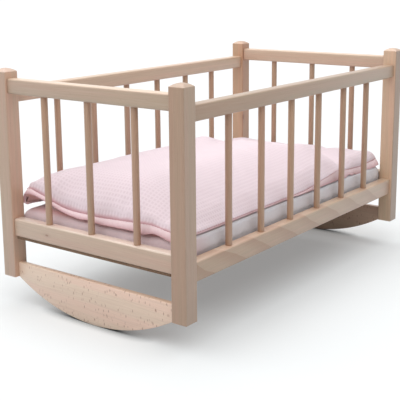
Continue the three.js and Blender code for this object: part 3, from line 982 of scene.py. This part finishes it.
def mattress_panels():
    low, high = (corner / MM for corner in corners("mattress"))
    high = high + MATTRESS_SLACK
    middle = (low + high) / 2
    reach_x = (high.x - low.x) / 2
    reach_y = (high.y - low.y) / 2
    long = sheet_length(reach_x, MATTRESS_ROUND_END, MATTRESS_SIDE)
    wide = sheet_length(reach_y, MATTRESS_ROUND_SIDE, MATTRESS_SIDE)

    def cut(u, v):
        return np.stack([u * long, v * wide], axis=1)

    def plan(u, v):
        x, down_x = fold_over(np.abs(u) * long, reach_x, MATTRESS_ROUND_END)
        y, down_y = fold_over(np.abs(v) * wide, reach_y, MATTRESS_ROUND_SIDE)
        share_x = np.clip(down_x / MATTRESS_SIDE, 0, 1)
        share_y = np.clip(down_y / MATTRESS_SIDE, 0, 1)
        down = 1 - (1 - share_x) * (1 - share_y)
        # a corner is drawn in, and near its foot the wall is tucked under
        corner = smooth_step(reach_x - 12, reach_x, x) * smooth_step(reach_y - 12, reach_y, y)
        pull = MATTRESS_PULL * corner
        tuck = MATTRESS_TUCK * smooth_step(0.6, 0.7, down)
        x = x - pull - tuck * smooth_step(reach_x - MATTRESS_WALL, reach_x, x)
        y = y - pull - tuck * smooth_step(reach_y - MATTRESS_WALL, reach_y, y)
        return middle.x + np.sign(u) * x, middle.y + np.sign(v) * y, down

    def top(u, v):
        x, y, down = plan(u, v)
        domed = (1 - ((x - middle.x) / reach_x) ** 4) * (1 - ((y - middle.y) / reach_y) ** 4)
        z = high.z - MATTRESS_CROWN * (1 - domed) - down * (high.z - low.z - MATTRESS_SEAM)
        # the cover's walls ripple and belly out, most of all high up along the back
        side = smooth_step(0.1, 0.3, down)
        wave = side * (0.9 * ripple(x + y, z, 17, 3) + 0.5 * ripple(x - y, z, 8, 4))
        bulge = 1.3 * np.sin(np.clip(down, 0, 1) ** 1.7 * math.pi) * side
        outward = np.clip(wave, -1.5, 0.2) + bulge
        swollen = smooth_step(0.02, 0.2, down) * (1 - smooth_step(0.48, 0.58, down))
        swollen = swollen * (2.0 + 2.6 * (1 - smooth_step(-238, -205, x)))
        edge_x = smooth_step(reach_x - MATTRESS_WALL, reach_x, np.abs(x - middle.x))
        edge_y = smooth_step(reach_y - MATTRESS_WALL, reach_y, np.abs(y - middle.y))
        y = y + swollen * edge_y * (v > 0)
        x = x + np.sign(u) * outward * edge_x
        y = y + np.sign(v) * outward * edge_y
        z = z + (1 - side) * 0.35 * ripple(x, y, 40, 5)
        # the far foot corner has sagged
        z = z - MATTRESS_SAG * smooth_step(95, 126, y) * (1 - smooth_step(-225, -190, x)) * (1 - down)
        return np.stack([x, y, z], axis=1)

    def bottom(u, v):
        share, lift = MATTRESS_UNDER
        flat_x = middle.x + u * reach_x * share
        flat_y = middle.y + v * reach_y * share
        flat = np.stack([flat_x, flat_y, np.full_like(u, low.z + lift)], axis=1)
        return np.where(on_rim(u, v), top(u, v), flat)

    return top, bottom, cut


make_bag("mattress", MATTRESS_GRID, mattress_panels(), [ticking], levels=1)

# %% [markdown]
# ## The duvet
# The duvet is much thicker than the pillow and fills the cradle from side to side. Its filling makes a
# broad level back that falls away to the foot seam, with a side wall of its own along the front, taller
# towards the head. At the far foot corner the seam is kicked up into a bell that daylight shows through,
# and near the head soft creases cross it. Seam heights were read from the photograph at the places
# where it shows, and are kept as short tables of (place, height), one for each side. Ridge tables say
# how high the filling still is where the duvet turns down to its front and back seam.

# %% The duvet's tables
DUVET_FOOT = -245.0
DUVET_HEAD = 130.0
DUVET_LONG = (DUVET_HEAD - DUVET_FOOT) / 2
DUVET_MIDDLE = (DUVET_HEAD + DUVET_FOOT) / 2
DUVET_HALF = 126.5
DUVET_ROUND_BACK = 12.0
DUVET_ROUND_FRONT = 20.0
DUVET_ROUND_HEAD = 8.0
DUVET_WALL_BACK = 14.0
DUVET_WALL_FRONT = 20.0
DUVET_END = 36.0
DUVET_GRID = (176, 132)
DUVET_LEVEL = 52.5
DUVET_HEAD_FALL = 11.5
FOOT_SEAM = [
    (-127, 1.5), (-108, 2.5), (-96, 5), (-80, 7), (-53, 5.5), (-33, 4.5), (6, 2.5), (22, 3.5),
    (41, 3.5), (61, 5.5), (79, 10), (94, 15.5), (107, 18.5), (116, 21.5), (123, 22.5), (130, 22.5),
]
FRONT_SEAM = [(-250, 1.5), (-200, 0.6), (24, 1.2), (50, 4), (73, 7), (92, 9), (116, 12.5), (130, 13)]
HEAD_SEAM = [(-127, 13), (-100, 9), (-60, 5), (60, 4), (127, 5)]
BACK_SEAM = [(-250, 4.5), (-238, 4), (-220, 2.5), (-150, 1), (60, 1), (130, 5)]
FRONT_RIDGE = [
    (-245, 4), (-213, 6), (-161, 8.5), (-96, 11), (0, 12.5), (55, 15), (77, 18), (97, 21), (126, 21),
]
BACK_RIDGE = [
    (-250, 32), (-245, 33), (-231, 35), (-197, 36.2), (-135, 35.5), (-60, 33.5), (40, 31), (80, 28),
    (126, 19),
]
DUVET_HUMPS = [
    (-9, 96, 64, 28, 40), (7, 38, 60, 24, 22), (-7.5, 57, 32, 22, 16), (2.5, 84, 2, 26, 26),
    (9, 114, -74, 26, 26), (-3, 58, 38, 14, 14), (-8, 82, -7, 16, 15), (-10, 98, -38, 16, 14),
]
DUVET_CREASES = [
    ((69, 28), (82, -16), 2.2, 4.5), ((96, -22), (88, -56), 1.4, 4.0), ((122, -30), (80, -12), 1.6, 7.0),
]
print("duvet tables:", len(DUVET_HUMPS), "humps,", len(DUVET_CREASES), "creases")


# %% Shape the duvet
def duvet_back(x):
    """How much further back the seam lies than it would on a straight cut."""
    return 1.5 + 3.5 * (1 - smooth_step(-240, -190, x))


def duvet_base(x, y, foot_width=42):
    back_gap = DUVET_HALF + duvet_back(x) - y
    seams = (
        (FRONT_SEAM, x, y + DUVET_HALF, 22), (HEAD_SEAM, y, DUVET_HEAD - x, 30),
        (FOOT_SEAM, y, x - DUVET_FOOT, foot_width), (BACK_SEAM, x, back_gap, 7),
    )
    return seam_level(x, seams)


def duvet_plan(u, v):
    long = sheet_length(DUVET_LONG, DUVET_ROUND_HEAD, DUVET_END)
    turn = np.where(v > 0, DUVET_ROUND_BACK, DUVET_ROUND_FRONT)
    wall = np.where(v > 0, DUVET_WALL_BACK, DUVET_WALL_FRONT)
    wide = DUVET_HALF - turn + turn * math.pi / 2 + wall - turn
    head_x, down_x = fold_over(np.clip(u, 0, None) * long, DUVET_LONG, DUVET_ROUND_HEAD)
    x = np.where(u > 0, DUVET_MIDDLE + head_x, DUVET_MIDDLE + u * DUVET_LONG)
    out_y, down_y = fold_over(np.abs(v) * wide, DUVET_HALF, turn)
    y = np.sign(v) * out_y
    y = y + np.where(v > 0, duvet_back(x) * smooth_step(60, 126, y), 0)
    fall_x = np.clip(down_x / DUVET_END, 0, 1)
    fall_y = np.clip(down_y / wall, 0, 1)
    return x, y, 1 - (1 - fall_x) * (1 - fall_y)


def crease(x, y, start, end, depth, width):
    """A valley along a line, deepest at its middle, with a soft lip on one side."""
    run = np.array(end, dtype=float) - np.array(start)
    length = np.hypot(*run)
    along = ((x - start[0]) * run[0] + (y - start[1]) * run[1]) / length ** 2
    aside = ((y - start[1]) * run[0] - (x - start[0]) * run[1]) / length
    reach = np.exp(-((along - 0.5) / 0.42) ** 4)
    lip = 0.5 * np.exp(-((aside - 1.6 * width) / width) ** 2)
    return reach * depth * (lip - np.exp(-(aside / width) ** 2))


def duvet_crest(x, y):
    """How high the duvet's top is before it turns down to its rim."""
    inward = x - DUVET_FOOT
    middle = DUVET_LEVEL - DUVET_HEAD_FALL * smooth_step(56, 128, x) + humps(x, y, DUVET_HUMPS)
    for line in DUVET_CREASES:
        middle = middle + crease(x, y, *line)
    # towards the back and the front the filling gets thinner, down to its two ridges
    back = np.clip((y - 46) / 79, 0, 1) ** 1.5
    front = np.clip((-y - 28) / 97, 0, 1) ** (1.45 + 0.6 * smooth_step(30, 110, x))
    level = middle + (along_table(BACK_RIDGE, x) - middle) * back
    level = level + (along_table(FRONT_RIDGE, x) - level) * front
    # over the foot seam it rises from a thin lip, most steeply at the bell
    base = duvet_base(x, y)
    lip = 2 + (6.5 + 6 * smooth_step(100, 118, y)) * smooth_step(0, 7, inward)
    climb = np.clip(inward / 60, 0, 1)
    swell = 1 - (1 - climb) ** (2.3 + 4 * smooth_step(60, 118, y))
    gentle = 1.2 * ripple(x, y, 85, 1) + 0.6 * ripple(x, y, 38, 2) + 0.3 * ripple(x, y, 16, 6)
    return base + lip + (np.maximum(level - base - lip, 0) + gentle) * swell


def duvet_top(u, v):
    x, y, fall = duvet_plan(u, v)
    base = duvet_base(x, y)
    z = base + (1 - fall) * (duvet_crest(x, y) - base)
    near_foot = x - DUVET_FOOT
    folds = np.exp(-near_foot / 18) * smooth_step(0, 8, near_foot)
    z = z + gathers(y, near_foot, 2.0, 8) + 1.6 * folds * ripple(y, near_foot * 0.3, 15, 9)
    edge_x = np.where(u <= -ALMOST_ONE, DUVET_FOOT, x)
    corner = smooth_step(0.9, 1, np.abs(u)) * smooth_step(0.9, 1, np.abs(v))
    corner = corner * np.where((u < 0) & (v > 0), 1, 3.5)
    return np.stack([edge_x - np.sign(u) * corner, y - np.sign(v) * corner, BED_LEVEL + z], axis=1)


def duvet_bottom(u, v):
    x, y = DUVET_MIDDLE + u * DUVET_LONG, v * DUVET_HALF
    flat = np.stack([x, y, BED_LEVEL + duvet_base(x, y, 10 + 32 * smooth_step(78, 104, y))], axis=1)
    return np.where(on_rim(u, v), duvet_top(u, v), flat)


# at the foot the cloth is a little longer than it lies, for its gathers
DUVET_CUT_FOOT = DUVET_LONG * 1.1
DUVET_CUT_HEAD = sheet_length(DUVET_LONG, DUVET_ROUND_HEAD, DUVET_END)
DUVET_CUT_SIDE = sheet_length(DUVET_HALF, DUVET_ROUND_FRONT, DUVET_WALL_FRONT)


def duvet_cut(u, v):
    return np.stack([u * np.where(u > 0, DUVET_CUT_HEAD, DUVET_CUT_FOOT), v * DUVET_CUT_SIDE], axis=1)


duvet_cloth = waffle_weave("pink_waffle_duvet", (DUVET_CUT_FOOT * MM, DUVET_CUT_SIDE * MM), 3.4)
duvet_panels = (duvet_top, duvet_bottom, duvet_cut)
make_bag("duvet", DUVET_GRID, duvet_panels, [duvet_cloth, underside_cloth])

# %% [markdown]
# ## The pillow
# The pillow is the duvet's small sister: two panels with a plump middle, its corners pulled in a little
# and its front seam held up off the mattress by the filling.

# %% Shape the pillow
PILLOW_REACH = (53.5, 123.5)
PILLOW_MIDDLE = 192.5
PILLOW_ROUND = 8.0
PILLOW_ROUND_FRONT = 17.0
PILLOW_DEPTH = 19.0
PILLOW_GRID = (70, 130)
PILLOW_FRONT = [(135, 7.5), (150, 7), (195, 4), (217, 6), (250, 6)]
PILLOW_BACK = [(135, 3), (247, 4)]
PILLOW_ENDS = [(-121, 8), (-90, 5), (90, 3), (121, 3)]
# two of the dips run right across, so they have no end in x
PILLOW_HUMPS = [
    (-3, 0, 17, math.inf, 26), (-2.8, 0, -46, math.inf, 10), (-3.8, 220, 66, 40, 38),
    (5.5, 238, -120, 15, 13),
]
PILLOW_CUT_LONG = sheet_length(PILLOW_REACH[0], PILLOW_ROUND, PILLOW_DEPTH)
PILLOW_CUT_WIDE = sheet_length(PILLOW_REACH[1], PILLOW_ROUND_FRONT, PILLOW_DEPTH)


def pillow_base(x, y):
    reach_x, reach_y = PILLOW_REACH
    from_middle = x - PILLOW_MIDDLE
    seams = (
        (PILLOW_BACK, x, reach_y - y, 22), (PILLOW_FRONT, x, y + reach_y, 22),
        (PILLOW_ENDS, y, reach_x - from_middle, 18), (PILLOW_ENDS, y, reach_x + from_middle, 18),
    )
    return seam_level(x, seams)


def pillow_plan(u, v):
    reach_x, reach_y = PILLOW_REACH
    turn = np.where(v < 0, PILLOW_ROUND_FRONT, PILLOW_ROUND)
    wide = reach_y + PILLOW_DEPTH + turn * (math.pi / 2 - 2)
    out_x, down_x = fold_over(np.abs(u) * PILLOW_CUT_LONG, reach_x, PILLOW_ROUND)
    out_y, down_y = fold_over(np.abs(v) * wide, reach_y, turn)
    fall = 1 - (1 - np.clip(down_x / PILLOW_DEPTH, 0, 1)) * (1 - np.clip(down_y / PILLOW_DEPTH, 0, 1))
    return PILLOW_MIDDLE + np.sign(u) * out_x, np.sign(v) * out_y, fall


def pillow_top(u, v):
    x, y, fall = pillow_plan(u, v)
    base = pillow_base(x, y)
    across_x = np.clip(np.abs(x - PILLOW_MIDDLE) / PILLOW_REACH[0], 0, 1)
    across_y = np.clip(np.abs(y) / PILLOW_REACH[1], 0, 1)
    level = 16 + 5 * (1 - across_x ** 3) + 3.5 * (1 - across_x ** 2) * (1 - across_y ** 4)
    level = level + humps(x, y, PILLOW_HUMPS)
    gentle = 0.9 * ripple(x, y, 46, 11) + 0.5 * ripple(x, y, 21, 12)
    z = base + (1 - fall) * (level - base + gentle * (1 - across_y ** 6))
    z = z + gathers(x, y + PILLOW_REACH[1], 1.8, 14)
    corner = smooth_step(0.86, 1, np.abs(u)) * smooth_step(0.93, 1, np.abs(v))
    corner = corner * np.where((u > 0) & (v < 0), 0.3, 3.6)
    return np.stack([x - np.sign(u) * corner, y - np.sign(v) * corner, BED_LEVEL + z], axis=1)


def pillow_bottom(u, v):
    x, y = PILLOW_MIDDLE + u * PILLOW_REACH[0], v * PILLOW_REACH[1]
    flat = np.stack([x, y, BED_LEVEL + pillow_base(x, y)], axis=1)
    return np.where(on_rim(u, v), pillow_top(u, v), flat)


def pillow_cut(u, v):
    return np.stack([u * PILLOW_CUT_LONG, v * PILLOW_CUT_WIDE], axis=1)


pillow_cloth = waffle_weave("pink_waffle_pillow", (PILLOW_CUT_LONG * MM, PILLOW_CUT_WIDE * MM), 3.8)
pillow_panels = (pillow_top, pillow_bottom, pillow_cut)
make_bag("pillow", PILLOW_GRID, pillow_panels, [pillow_cloth, underside_cloth])

# %% [markdown]
# ## Hems and stitches
# Round each cover runs a hem: the two panels are turned in on themselves and stitched through, which
# leaves a flat, soft lip outside the seam. It is a strip swept along the rim, thin at the stitching and
# thick at its folded edge. Because nothing holds the outer edge, it waves up and down. The stitches sit
# on the seam, each one a short thread with its ends pulled into the cloth.

# %% A strip along the rim
HEM_AROUND = 14
FOOT_HEM = [
    (-127, -4.5), (-111, -4.5), (-100, -1), (-88, 1.5), (-71, -3.5), (-56, -1), (-44, -1), (1, -2),
    (15, 0.5), (29, -1), (49, 1.5), (63, 4.5), (76, 8), (92, 13.5), (105, 17), (115, 18.5), (123, 17.5),
    (130, 15),
]


def span(path, steps):
    return np.roll(path, -steps, axis=0) - np.roll(path, steps, axis=0)


def rim_path(top_of, count_long, count_wide):
    """The closed line of the rim, as points in mm, with the direction away from the bag at each."""
    long = np.linspace(-1, 1, count_long, endpoint=False)
    wide = np.linspace(-1, 1, count_wide, endpoint=False)
    one_long, one_wide = np.ones_like(long), np.ones_like(wide)
    sides = ((long, -one_long), (one_wide, wide), (-long, one_long), (-one_wide, -wide))
    path = np.concatenate([top_of(u, v) for u, v in sides])
    # where a corner bunches the rim up, its direction is taken over a wider span
    near = span(path, 4)
    ahead = np.where(np.hypot(near[:, 0], near[:, 1])[:, None] > 0.05, near, span(path, 9))
    away = np.stack([ahead[:, 1], -ahead[:, 0], np.zeros(len(path))], axis=1)
    return path, away / np.linalg.norm(away, axis=1)[:, None]


def lengths_along(path):
    return np.concatenate([[0], np.cumsum(np.linalg.norm(np.diff(path, axis=0), axis=1))])


def make_hem(body, rim, reach, edge_level, thickness):
    """A strip from the rim out to reach and edge_level, both given along the path."""
    path, away = rim
    shape = bmesh.new()
    uv_layer = shape.loops.layers.uv.new("cloth")
    count = len(path)
    steps = lengths_along(path)
    lip = away * reach[:, None]
    lip[:, 2] = edge_level - path[:, 2]
    lean = lip / np.linalg.norm(lip, axis=1)[:, None]
    face = np.cross(np.cross(away, (0, 0, 1)), lean)
    face /= np.linalg.norm(face, axis=1)[:, None]

    def index_at(u):
        return np.floor((u + 1) / 2 * count + 1e-6).astype(int) % count

    def place(u, v):
        index = index_at(u)
        turn = v * math.pi
        out = 0.5 - 0.5 * np.cos(turn)
        thick = np.sin(turn) * (0.28 + 0.22 * out) * np.clip(np.abs(np.sin(turn)) + 0.4, 0, 1)
        # the strip starts a little inside the rim, so that no gap shows between hem and cover
        spot = path[index] + lip[index] * (out * 1.06 - 0.06)[:, None]
        gather = 1 + 0.2 * np.cos(2 * math.pi * steps[index] / STITCH_STEP)
        return spot + face[index] * (thick * gather * thickness[index])[:, None]

    def cut(u, v):
        return np.stack([steps[index_at(u)], v * HEM_CUT], axis=1)

    grid_panel(shape, count, HEM_AROUND, place, cut, uv_layer)
    finish_cloth(shape, "hem_" + body, [hem_cloth], body)


def sides_of(away):
    """Which rim points lie on the front, at the head and at the back; the rest are at the foot."""
    return away[:, 1] < -0.7, away[:, 0] > 0.7, away[:, 1] > 0.7


print("strip ready")

# %% Make the hems
def hem_duvet(rim):
    """The duvet's hem: widest at the foot, where its edge follows a table, and slight along the front."""
    x, y, z = rim[0].T
    front, head, back = sides_of(rim[1])
    to_head = smooth_step(-20, 20, x)
    reach = np.select((head, back, front), (1.8, 1.4, 0.2 + 1.0 * to_head), 4.6)
    thick = np.where(front, 0.5 + 1.7 * to_head, 3.4)
    front_edge = np.where(x > 0, BED_LEVEL - 1.2, z - 1.6)
    foot_edge = BED_LEVEL + along_table(FOOT_HEM, y, 5.0)
    edge = np.select((head, back, front), (z - 8, z - 1.4, front_edge), foot_edge)
    edge = np.minimum(edge, z - np.where(front, 0.6, 2.0))
    make_hem("duvet", rim, reach, edge, thick)


def hem_pillow(rim):
    """The pillow's hem: it hangs from the raised front seam, and elsewhere lies on the mattress."""
    x, y, z = rim[0].T
    front, head, back = sides_of(rim[1])
    reach = 2.8 + np.where(front, 2.2 * smooth_step(212, 236, x), 0)
    edge = np.where(front, z - 9, np.maximum(z - 7.5, BED_LEVEL + 0.25))
    edge = edge + 2.0 * ripple(x, y, 9, 21) * (z > BED_LEVEL + 5)
    make_hem("pillow", rim, reach, edge, np.full(len(x), 2.6))


duvet_rim = rim_path(duvet_top, 300, 200)
pillow_rim = rim_path(pillow_top, 100, 200)
hem_duvet(duvet_rim)
hem_pillow(pillow_rim)
print("hems ready:", [n for n in pieces if "hem" in n])

# %% Sew the stitches
STITCH_LENGTH = 2.4
STITCH_GAP = 4.4
STITCH_SIDES = 6
STITCH_RINGS = 4
THREAD_RADIUS = 0.42
STITCH_AHEAD = 1.5
STITCH_OUT = 0.3
STITCH_UP = Vector((0, 0, 0.9))


def sew(body, rim):
    path, away = rim
    closed = np.concatenate([path, path[:1]])
    lengths = lengths_along(closed)
    count = int(lengths[-1] / STITCH_GAP)
    size = Matrix.Diagonal((THREAD_RADIUS * MM, THREAD_RADIUS * MM, STITCH_LENGTH * MM / 2, 1))
    shape = bmesh.new()
    shape.loops.layers.uv.new("cloth")
    for i in range(count):
        here = i * lengths[-1] / count
        spot = Vector([np.interp(here, lengths, side) for side in closed.T])
        nearby = Vector([np.interp(here + STITCH_AHEAD, lengths, side) for side in closed.T])
        index = min(int(np.searchsorted(lengths, here)), len(path) - 1)
        centre = spot + Vector(away[index]) * STITCH_OUT + STITCH_UP
        direction = (nearby - spot).normalized()
        turn = Vector((0, 0, 1)).rotation_difference(direction).to_matrix().to_4x4()
        place = Matrix.Translation(centre * MM) @ turn @ size
        bmesh.ops.create_uvsphere(
            shape, u_segments=STITCH_SIDES, v_segments=STITCH_RINGS, radius=1, matrix=place,
        )
    finish_cloth(shape, "stitches_" + body, [thread_cloth], body, levels=0)


sew("duvet", duvet_rim)
sew("pillow", pillow_rim)
print("stitches ready")
